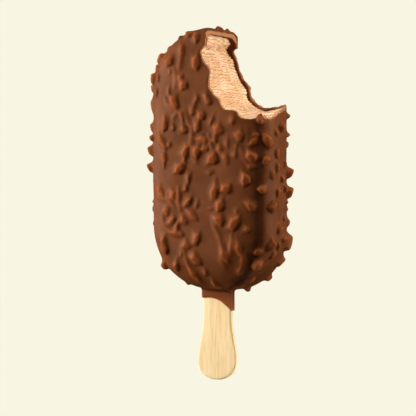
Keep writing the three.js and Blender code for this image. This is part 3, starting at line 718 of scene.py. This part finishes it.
def coating_field(grid):
    field = body_distance(grid.x, grid.y, grid.z).astype(np.float32)
    field = add_waves(field, grid, COATING_WAVES)
    for radius, places in RUNS:
        add_run(field, grid, radius, places)
    for nut in all_nuts():
        add_nut(field, grid, *nut)
    for axis in range(3):
        field = blur(field, axis)
    field = smooth_min(field, collar_distance(grid).astype(np.float32), COLLAR_BLEND)

    bite = bite_distance(grid)
    inside = body_distance(grid.x, grid.y, grid.z, coat_depth(grid, bite), COAT_AT_TOP - COAT)
    field = np.maximum(field, -inside.astype(np.float32))
    field = np.maximum(field, -stick_distance(grid, -STICK_OVERLAP).astype(np.float32))
    crack = add_waves(0, grid, BREAK_WAVES)
    field = smooth_max(field, -(bite + crack), BREAK_ROUNDING)
    # Flat where it lies on the floor.
    floor = -HALF_THICKNESS - REST_HEIGHT - grid.z
    return smooth_max(field, np.broadcast_to(floor, grid.shape), REST_ROUNDING)


# ---- Ice cream ----

def cream_field(grid):
    bite = bite_distance(grid)
    depth = coat_depth(grid, bite) - CREAM_OVERLAP
    field = body_distance(grid.x, grid.y, grid.z, depth, COAT_AT_TOP - COAT).astype(np.float32)
    share = np.clip((BITE_HALF_DEPTH - grid.z) / (2 * BITE_HALF_DEPTH), 0, 1)
    behind = mix(CREAM_BACK_FRONT, CREAM_BACK_REAR, share)
    top, over = CREAM_TOP_FROM
    behind = behind + CREAM_TOP_GAP * share ** 2 * np.clip((grid.y - top) / over, 0, 1)
    # Wavy creases run through the bar's thickness.
    phase = add_waves(grid.y - CREASE_SLANT * grid.x, grid, CREASE_WAVES)
    strength = CREASE_DEPTH * add_waves(CREASE_USUAL, grid, CREASE_STRENGTH)
    creases = strength * (np.abs(np.sin(math.pi / CREASE * phase)) - CREASE_MEAN)
    creases = add_waves(creases, grid, CREAM_WAVES)
    field = smooth_max(field, -(bite - behind + creases), CREAM_ROUNDING)
    return np.maximum(field, -stick_distance(grid, 0.0).astype(np.float32))


# ---- Meshes ----

def largest_body(count, quads):
    """Which faces are in the body that has the most points."""
    label = np.arange(count)
    edges = np.concatenate([quads[:, [i, (i + 1) % 4]] for i in range(4)])
    while True:
        low = np.minimum(label[edges[:, 0]], label[edges[:, 1]])
        new = label.copy()
        np.minimum.at(new, edges[:, 0], low)
        np.minimum.at(new, edges[:, 1], low)
        new = new[new]
        if (new == label).all():
            break
        label = new
    most = np.bincount(label).argmax()
    return label[quads[:, 0]] == most


def add_object(name, data):
    obj = bpy.data.objects.new(name, data)
    bpy.context.scene.collection.objects.link(obj)
    return obj


def mesh_object(name, points, faces):
    """A smooth-shaded object from bar coordinates."""
    mesh = bpy.data.meshes.new(name)
    mesh.from_pydata(bar_to_row(points), [], faces)
    mesh.validate()
    mesh.shade_smooth()
    return add_object(name, mesh)


def mesh_field(name, grid, field, triangles):
    """Turns a field into an object of at most so many triangles."""
    volume = openvdb.FloatGrid(background=FAR)
    volume.copyFromArray(np.ascontiguousarray(field, dtype=np.float32))
    points, quads = volume.convertToQuads(isovalue=0.0)
    points = np.asarray(points, float) * grid.step + grid.low
    quads = np.asarray(quads, np.int64)
    quads = quads[largest_body(len(points), quads)]
    used, quads = np.unique(quads, return_inverse=True)
    quads = quads.reshape(-1, 4)
    points = points[used]
    a, b, c = (points[quads[:, i]] for i in range(3))
    if np.einsum("ij,ij->i", a, np.cross(b, c)).sum() < 0:
        quads = quads[:, ::-1]
    obj = mesh_object(name, points, quads)
    modifier = obj.modifiers.new("fewer", "DECIMATE")
    modifier.ratio = triangles / (2 * len(quads))
    evaluated = obj.evaluated_get(bpy.context.evaluated_depsgraph_get())
    mesh = bpy.data.meshes.new_from_object(evaluated)
    obj.modifiers.clear()
    full = obj.data
    obj.data = mesh
    bpy.data.meshes.remove(full)
    mesh.name = name
    mesh.shade_smooth()
    return obj


# ---- Stick ----

def stick_sides(margin):
    """The stick's right side from its wide end up, as (half width, y)."""
    widest = STICK_SIDE[0]
    points = []
    for i in range(STICK_END_STEPS):
        angle = (i / STICK_END_STEPS - 1) * math.pi / 2
        points.append((
            (widest[0] + margin) * math.cos(angle),
            widest[1] + (WIDE_END_DEPTH + margin) * math.sin(angle)))
    for half, y in spline(STICK_SIDE, STICK_SIDE_STEPS)[:-1]:
        points.append((half + margin, y))
    for y in np.linspace(STICK_SIDE[-1][1], NARROW_END_Y, STICK_NECK_STEPS + 1)[:-1]:
        points.append((NARROW_END_RADIUS + margin, y))
    for i in range(STICK_END_STEPS + 1):
        angle = i / STICK_END_STEPS * math.pi / 2
        radius = NARROW_END_RADIUS + margin
        points.append((radius * math.cos(angle), NARROW_END_Y + radius * math.sin(angle)))
    return points


def make_stick():
    half_thickness = STICK_THICKNESS / 2
    profile = [(-STICK_RIM, half_thickness)]
    for i in range(STICK_ROUNDING_STEPS + 1):
        angle = (1 - i / STICK_ROUNDING_STEPS) * math.pi / 2
        profile.append((
            STICK_ROUNDING * (math.cos(angle) - 1),
            half_thickness + STICK_ROUNDING * (math.sin(angle) - 1)))
    profile += [(margin, -z) for margin, z in reversed(profile)]
    points, faces = [], []
    for margin, z in profile:
        side = stick_sides(margin)
        points += [(STICK_X + x, y, z) for x, y in side]
        points += [(STICK_X - x, y, z) for x, y in reversed(side)]
    count = len(points) // len(profile)
    for ring in range(len(profile) - 1):
        for i in range(count):
            a, b = ring * count + i, ring * count + (i + 1) % count
            faces.append((b, a, a + count, b + count))
    last = (len(profile) - 1) * count
    for i in range(count // 2 - 1):
        left = count - 1 - i
        faces.append((i, i + 1, left - 1, left))
        faces.append((last + i + 1, last + i, last + left, last + left - 1))
    return mesh_object("wooden_stick", np.array(points), np.array(faces))


# ---- Make the pieces ----

coating_grid = Grid(*COATING_BOX, VOXEL)
coating = mesh_field(
    "chocolate_coating", coating_grid, coating_field(coating_grid), COATING_TRIANGLES)
cream_grid = Grid(*CREAM_BOX, CREAM_VOXEL)
cream = mesh_field("bitten_ice_cream", cream_grid, cream_field(cream_grid), CREAM_TRIANGLES)
stick = make_stick()

# ---- Materials ----

def linear(red, green, blue):
    """Shader values for a colour given as 0 to 255 on a screen."""
    values = []
    for part in (red / 255, green / 255, blue / 255):
        values.append(part / 12.92 if part <= 0.04045 else ((part + 0.055) / 1.055) ** 2.4)
    return (*values, 1.0)


CHOCOLATE_DARK = linear(91, 49, 24)
CHOCOLATE_LIGHT = linear(103, 58, 31)
# The nuts' warmer colour through the thin chocolate, made brighter as painted light on their
# faces.
CHOCOLATE_NUT_AND_PAINTED_LIGHT = linear(126, 66, 31)
# Painted shade for hollows between nuts and for the inner wall seen behind the ice cream.
CHOCOLATE_PAINTED_RECESS_SHADE = linear(54, 24, 12)
# Painted shade for the band along the rounded right edge.
CHOCOLATE_PAINTED_SHADE = linear(46, 20, 10)
# Painted highlight for the ridges round the nuts.
CHOCOLATE_PAINTED_HIGHLIGHT = linear(170, 115, 78)
CHOCOLATE_INSIDE = linear(174, 119, 82)
CREAM_LIGHT = linear(234, 203, 170)
CREAM_MID = linear(217, 176, 133)
# Painted shade for the ice cream's creases.
CREAM_PAINTED_SHADE = linear(184, 121, 74)
WOOD_LIGHT = linear(246, 225, 179)
WOOD_MID = linear(236, 209, 155)
WOOD_GRAIN = linear(216, 174, 114)
WOOD_FLECK = linear(194, 144, 84)
FLOOR_COLOUR = linear(248, 245, 226)
LIGHT_COLOUR = (1, 0.92, 0.82)
WORLD_COLOUR = (1, 0.98, 0.95, 1)
WORLD_STRENGTH = 0.02

MILLIMETRES = (1000, 1000, 1000)  # to the metre, along each axis
# Noise, each as its cells to the millimetre, its detail and roughness, and its stretch.
CHOCOLATE_NOISE = {"broad": (0.07, 3), "patches": (0.35, 3), "bumps": (0.9, 2), "grit": (3.5, 2)}
CREAM_NOISE = {"broad": (0.25, 3), "ice": (2.2, 3, 0.6), "grit": (6.0, 2)}
WOOD_NOISE = {
    "bands": (1.0, 3, 0.55, (0.55, 0.02, 0.55)),
    "fibres": (1.0, 3, 0.6, (4.5, 0.12, 4.5)),
    "flecks": (1.0, 2, 0.5, (3.0, 0.5, 3.0)),
}

# Tints over a ground colour, in order: what each goes by, where it begins and where it is
# full, its full share and its colour.
CHOCOLATE_TINTS = [
    ("broad", 0.35, 0.65, 1, CHOCOLATE_LIGHT),
    # Painted shade along the rounded right edge.
    ("painted_shade", 0, 1, 0.7, CHOCOLATE_PAINTED_SHADE),
    # Nuts show warmer through the thin chocolate, and brighter as painted light on their faces.
    ("proud", 0.22, 0.9, 0.9, CHOCOLATE_NUT_AND_PAINTED_LIGHT),
    # Painted shade in the hollows, where the relief is low.
    ("relief", -0.05, -0.3, 0.9, CHOCOLATE_PAINTED_RECESS_SHADE),
    # Here the same colour is only a warmer tone at random.
    ("patches", 0.5, 0.75, 0.25, CHOCOLATE_NUT_AND_PAINTED_LIGHT),
    # Painted highlight on ridges, where the relief is high.
    ("relief", 0.16, 0.42, 0.5, CHOCOLATE_PAINTED_HIGHLIGHT),
    ("broken_and_shade", 0, 1, 1, CHOCOLATE_INSIDE),
    # Painted shade on the inner wall of the broken coating, behind the ice cream.
    ("broken_and_shade", 0, -1, 0.85, CHOCOLATE_PAINTED_RECESS_SHADE),
]
# The second tint is painted shade in the creases, where the relief is low.
CREAM_TINTS = [("broad", 0.4, 0.6, 1, CREAM_LIGHT), ("relief", 0.02, -0.1, 1, CREAM_PAINTED_SHADE)]
WOOD_TINTS = [
    ("bands", 0.35, 0.65, 1, WOOD_LIGHT),
    ("fibres", 0.45, 0.7, 0.65, WOOD_GRAIN),
    ("flecks", 0.66, 0.8, 0.45, WOOD_FLECK),
]

# Lights, each with its place and what it looks at in bar coordinates, its size in metres
# and its power in watts.
LIGHTS = [
    ("key", (-300, 102, 170), (0, 51, 0), (0.28, 0.4), 3.55),
    ("top", (47, 644, 79), (0, 51, 0), (0.5, 0.09), 2.4),
    ("bite", (80, 100, 0), (22, 60, 0), (0.03, 0.02), 0.009),
    ("fill", (95, 75, 70), (20, 40, 5), (0.03, 0.03), 0.028),
    ("foot", (45, -60, -5), (8, -50, 0), (0.02, 0.02), 0.025),
    ("rim", (231, 100, -124), (20, 50, 0), (0.2, 0.06), 0.8),
]


def add(tree, kind, values=None, **settings):
    """A node with its settings, and with values or other nodes' outputs as inputs."""
    node = tree.nodes.new(kind)
    for name, value in settings.items():
        setattr(node, name, value)
    for key, value in (values or {}).items():
        if isinstance(value, bpy.types.NodeSocket):
            tree.links.new(value, node.inputs[key])
        else:
            node.inputs[key].default_value = value
    return node


def new_material(name):
    material = bpy.data.materials.new(name)
    material.use_nodes = True
    tree = material.node_tree
    tree.nodes.clear()
    return material, tree


def scaled(tree, place, scale):
    values = {0: place, 1: scale}
    return add(tree, "ShaderNodeVectorMath", values, operation="MULTIPLY").outputs[0]


def noise(tree, place, scale, detail, roughness=0.5, stretch=(1, 1, 1)):
    place = scaled(tree, place, stretch)
    return add(tree, "ShaderNodeTexNoise", {
        "Vector": place, "Scale": scale, "Detail": detail, "Roughness": roughness,
    }).outputs["Fac"]


def spread(tree, value, low, high, to_low, to_high):
    return add(tree, "ShaderNodeMapRange", {
        "Value": value, "From Min": low, "From Max": high, "To Min": to_low, "To Max": to_high,
    }, interpolation_type="SMOOTHSTEP").outputs["Result"]


def find_looks(tree, noises, attributes=()):
    """What tints and bumps go by: noise, and values stored with a mesh's points."""
    place = scaled(tree, add(tree, "ShaderNodeTexCoord").outputs["Object"], MILLIMETRES)
    looks = {name: noise(tree, place, *values) for name, values in noises.items()}
    for name in attributes:
        looks[name] = add(tree, "ShaderNodeAttribute", attribute_name=name).outputs["Fac"]
    return looks


def tinted(tree, looks, colour, tints):
    for name, low, high, full, tint in tints:
        share = spread(tree, looks[name], low, high, 0, full)
        # A mix node's inputs 0, 6 and 7 are its share and two colours, output 2 the result.
        values = {0: share, 6: colour, 7: tint}
        colour = add(tree, "ShaderNodeMix", values, data_type="RGBA").outputs[2]
    return colour


def bumped(tree, looks, bumps):
    """The normal with some bumps, each as what it goes by and its depth in millimetres."""
    values = {}
    for name, depth in bumps:
        values |= {"Height": looks[name], "Distance": depth / 1000}
        values["Normal"] = add(tree, "ShaderNodeBump", values).outputs["Normal"]
    return values["Normal"]


def finish_material(material, tree, values):
    shader = add(tree, "ShaderNodeBsdfPrincipled", values)
    add(tree, "ShaderNodeOutputMaterial", {"Surface": shader.outputs[0]})
    return material


def chocolate_material():
    material, tree = new_material("milk_chocolate")
    looks = find_looks(tree, CHOCOLATE_NOISE, ("painted_shade", "proud", "relief", "broken_and_shade"))
    return finish_material(material, tree, {
        "Base Color": tinted(tree, looks, CHOCOLATE_DARK, CHOCOLATE_TINTS),
        "Roughness": spread(tree, looks["patches"], 0.3, 0.7, 0.44, 0.54),
        "Normal": bumped(tree, looks, (("bumps", 0.03), ("grit", 0.01))),
        "IOR": 1.45, "Specular IOR Level": 0.06, "Specular Tint": (1.0, 0.72, 0.5, 1.0),
        "Subsurface Weight": 0.12, "Subsurface Radius": (1.0, 0.4, 0.2),
        "Subsurface Scale": 0.0012,
    })


def cream_material():
    material, tree = new_material("caramel_ice_cream")
    looks = find_looks(tree, CREAM_NOISE, ("relief",))
    return finish_material(material, tree, {
        "Base Color": tinted(tree, looks, CREAM_MID, CREAM_TINTS),
        "Roughness": spread(tree, looks["ice"], 0.35, 0.7, 0.35, 0.6),
        "Normal": bumped(tree, looks, (("ice", 0.1), ("grit", 0.03))), "IOR": 1.4,
        "Subsurface Weight": 0.4, "Subsurface Radius": (1.0, 0.6, 0.3),
        "Subsurface Scale": 0.0008,
    })


def wood_material():
    material, tree = new_material("birch_wood")
    looks = find_looks(tree, WOOD_NOISE)
    return finish_material(material, tree, {
        "Base Color": tinted(tree, looks, WOOD_MID, WOOD_TINTS),
        "Roughness": spread(tree, looks["fibres"], 0.3, 0.7, 0.5, 0.65),
        "Normal": bumped(tree, looks, (("fibres", 0.05),)), "IOR": 1.45,
    })


def store(obj, name, values):
    layer = obj.data.attributes.new(name, "FLOAT", "POINT")
    layer.data.foreach_set("value", np.asarray(values, np.float32))


def mesh_points(obj):
    co = np.empty(3 * len(obj.data.vertices), np.float32)
    obj.data.vertices.foreach_get("co", co)
    return co.reshape(-1, 3).astype(float) * 1000 - SHIFT


def store_relief(obj, passes):
    """How far each point stands out of the surface smoothed round it, in millimetres."""
    mesh = obj.data
    points = mesh_points(obj)
    edges = np.empty(2 * len(mesh.edges), np.int32)
    mesh.edges.foreach_get("vertices", edges)
    a, b = edges.reshape(-1, 2).T
    degree = np.bincount(edges, minlength=len(points)).clip(1)
    normals = np.empty(3 * len(points), np.float32)
    mesh.vertices.foreach_get("normal", normals)
    smooth = points.copy()
    for _ in range(passes):
        means = np.stack([
            np.bincount(a, smooth[b, i], len(points)) + np.bincount(b, smooth[a, i], len(points))
            for i in range(3)], axis=1) / degree[:, None]
        smooth = mix(smooth, means, SMOOTHING)
    store(obj, "relief", ((points - smooth) * normals.reshape(-1, 3)).sum(axis=1))


def ramp(values, low, high):
    return np.clip((values - low) / (high - low), 0, 1)


def band(values, low, full_low, full_high, high):
    return ramp(values, low, full_low) * ramp(values, high, full_high)


def store_broken_and_shade(obj):
    """How far each point stands out of the smooth bar, and where the coating is broken
    through: 1 for its pale broken face and -1 for painted shade on the inner wall behind the ice
    cream."""
    points = mesh_points(obj)
    proud = body_distance(points[:, 0], points[:, 1], points[:, 2])
    store(obj, "proud", proud)
    top = ramp(points[:, 1], *TOP_FROM)
    pale = mix(PALE_SHARE * band(-proud, *PALE_DEPTHS), ramp(-proud, *PALE_DEPTHS_AT_TOP), top)
    # Painted shade on the inner wall of the broken coating, seen in the gap behind the ice cream.
    recess_shade = mix(SHADE_SHARE * ramp(-proud, *SHADE_DEPTHS), ramp(-proud, *SHADE_DEPTHS_AT_TOP), top)
    store(obj, "broken_and_shade", pale - recess_shade)


def store_painted_shade(obj):
    """Painted shade: the chocolate made darker along the rounded right edge, where it faces
    between the set angles.
    """
    x, y, z = mesh_points(obj).T
    step = 0.05
    slope_x = body_distance(x + step, y, z) - body_distance(x - step, y, z)
    slope_z = body_distance(x, y, z + step) - body_distance(x, y, z - step)
    facing = np.degrees(np.arctan2(slope_x, slope_z))
    store(obj, "painted_shade", band(facing, *PAINTED_SHADE_FACING))


store_broken_and_shade(coating)
store_painted_shade(coating)
store_relief(coating, COATING_PASSES)
store_relief(cream, CREAM_PASSES)

for piece, node, slot, material in (
    (coating, "coating", "chocolate", chocolate_material()),
    (cream, "ice_cream", "ice_cream", cream_material()),
    (stick, "stick", "wood", wood_material()),
):
    piece.data.materials.append(material)
    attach(piece, "root")
    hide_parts(node)


# ---- Camera, floor and light ----

turn, tip = math.radians(CAMERA_TURN), math.radians(CAMERA_TIP)
TOWARD = Vector((math.sin(turn) * math.cos(tip), math.sin(tip), math.cos(turn) * math.cos(tip)))
RIGHT = Vector((math.cos(turn), 0, -math.sin(turn)))
UP = TOWARD.cross(RIGHT)


def make_camera():
    data = bpy.data.cameras.new("camera")
    data.sensor_width = SENSOR
    data.lens = PIXELS_PER_MM * CAMERA_DISTANCE * SENSOR / IMAGE_SIZE
    data.clip_start, data.clip_end = CAMERA_CLIP
    camera = add_object("camera", data)
    middle = IMAGE_SIZE / 2
    across = (FOOT_PIXEL[0] - middle) / PIXELS_PER_MM
    down = (FOOT_PIXEL[1] - middle) / PIXELS_PER_MM
    place = down * UP - across * RIGHT + CAMERA_DISTANCE * TOWARD
    basis = Matrix((RIGHT, UP, TOWARD)).transposed().to_4x4()
    camera.matrix_world = Matrix.Translation(Vector(bar_to_row(place))) @ basis
    bpy.context.scene.camera = camera


def area_light(name, place, target, size, power):
    data = bpy.data.lights.new(name, "AREA")
    data.shape = "RECTANGLE"
    data.size, data.size_y = size
    data.energy = power
    data.color = LIGHT_COLOUR
    light = add_object(name, data)
    away = Vector(place) - Vector(target)
    light.location = bar_to_row(place)
    light.rotation_euler = away.to_track_quat("Z", "Y").to_euler()
    light.visible_camera = False


def make_floor():
    mesh = bpy.data.meshes.new("floor")
    r = FLOOR_REACH
    mesh.from_pydata([(-r, -r, 0), (r, -r, 0), (r, r, 0), (-r, r, 0)], [], [(0, 1, 2, 3)])
    floor = add_object("floor", mesh)
    material, tree = new_material("pale_floor")
    glow = add(tree, "ShaderNodeEmission", {"Color": FLOOR_COLOUR})
    add(tree, "ShaderNodeOutputMaterial", {"Surface": glow.outputs[0]})
    mesh.materials.append(material)
    # It glows like a light table: the rim light shines through it, and its own glow
    # doesn't reach the bar.
    floor.visible_diffuse = False
    floor.visible_glossy = False
    floor.visible_shadow = False


def make_world():
    world = bpy.data.worlds.new("studio")
    world.use_nodes = True
    background = world.node_tree.nodes["Background"]
    background.inputs["Color"].default_value = WORLD_COLOUR
    background.inputs["Strength"].default_value = WORLD_STRENGTH
    bpy.context.scene.world = world


make_camera()
make_floor()
for light in LIGHTS:
    area_light(*light)
make_world()
bpy.context.scene.view_settings.view_transform = "Standard"
